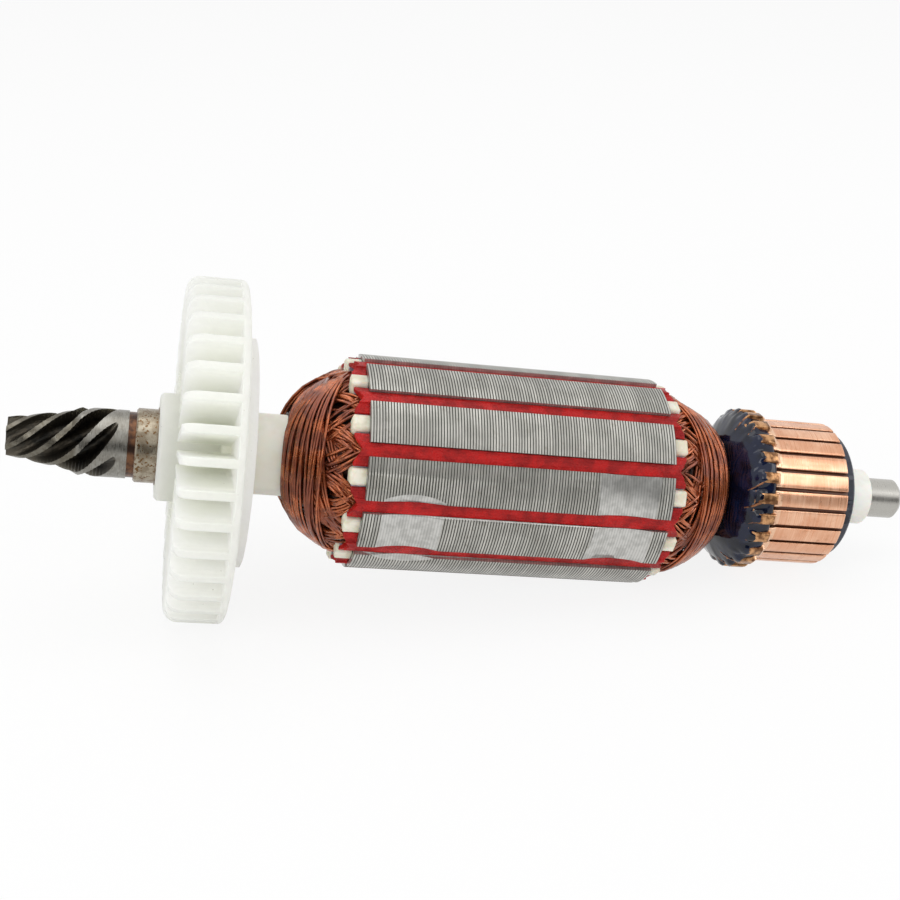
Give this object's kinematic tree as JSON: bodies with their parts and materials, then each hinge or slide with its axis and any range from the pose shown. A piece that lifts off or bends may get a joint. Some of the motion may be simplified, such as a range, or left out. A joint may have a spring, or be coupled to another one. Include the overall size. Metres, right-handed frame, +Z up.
{
  "type": "motor armature",
  "caption": "Wound universal-motor armature with a helical pinion on its shaft, a moulded fan, a slotted lamination stack and a copper commutator.",
  "frame": {"origin": "centre of the footprint of the part as it lies, on the surface it lies on", "axes": "+X towards the commutator end, +Y across, +Z up; the shaft's axis tilts down towards +X because the part lies on the fan's rim and the far edge of the stack"},
  "size_m": [0.1542, 0.056, 0.0564],
  "materials": {
    "shaft_steel": "turned and hobbed steel with rust in the relief groove and pitting on the bearing seat",
    "sleeve_plastic": "warm white moulded insulating plastic, matt",
    "fan_nylon": "translucent white nylon, satin",
    "lamination_steel": "edges of stacked electrical steel sheet with bright milled balance cuts",
    "insulator_plastic": "cream moulded end insulator, satin",
    "liner_film": "thin lilac-grey insulating film",
    "wedge_fibre": "red vulcanised fibre with varnish",
    "winding_copper": "enamelled copper wire, varnished brown",
    "commutator_moulding": "dark moulded resin",
    "commutator_copper": "machined hard copper with faint turning marks and brown stains",
    "potting_resin": "glossy blue-black potting resin"
  },
  "bodies": {
    "root": {"shaft": "shaft_steel", "insulating_sleeve": "sleeve_plastic", "fan": "fan_nylon", "lamination_stack": "lamination_steel", "drive_end_insulator": "insulator_plastic", "commutator_end_insulator": "insulator_plastic", "slot_liners": "liner_film", "commutator_hub": "commutator_moulding", "lead_potting": "potting_resin", "slot_wedge_01": "wedge_fibre", "slot_wedge_02": "wedge_fibre", "slot_wedge_03": "wedge_fibre", "slot_wedge_04": "wedge_fibre", "slot_wedge_05": "wedge_fibre", "slot_wedge_06": "wedge_fibre", "slot_wedge_07": "wedge_fibre", "slot_wedge_08": "wedge_fibre", "slot_wedge_09": "wedge_fibre", "slot_wedge_10": "wedge_fibre", "slot_wedge_11": "wedge_fibre", "slot_wedge_12": "wedge_fibre", "coil_01": "winding_copper", "coil_02": "winding_copper", "coil_03": "winding_copper", "coil_04": "winding_copper", "coil_05": "winding_copper", "coil_06": "winding_copper", "coil_07": "winding_copper", "coil_08": "winding_copper", "coil_09": "winding_copper", "coil_10": "winding_copper", "coil_11": "winding_copper", "coil_12": "winding_copper", "commutator_bar_01": "commutator_copper", "commutator_bar_02": "commutator_copper", "commutator_bar_03": "commutator_copper", "commutator_bar_04": "commutator_copper", "commutator_bar_05": "commutator_copper", "commutator_bar_06": "commutator_copper", "commutator_bar_07": "commutator_copper", "commutator_bar_08": "commutator_copper", "commutator_bar_09": "commutator_copper", "commutator_bar_10": "commutator_copper", "commutator_bar_11": "commutator_copper", "commutator_bar_12": "commutator_copper", "commutator_bar_13": "commutator_copper", "commutator_bar_14": "commutator_copper", "commutator_bar_15": "commutator_copper", "commutator_bar_16": "commutator_copper", "commutator_bar_17": "commutator_copper", "commutator_bar_18": "commutator_copper", "commutator_bar_19": "commutator_copper", "commutator_bar_20": "commutator_copper", "commutator_bar_21": "commutator_copper", "commutator_bar_22": "commutator_copper", "commutator_bar_23": "commutator_copper", "commutator_bar_24": "commutator_copper"}
  },
  "joints": []
}
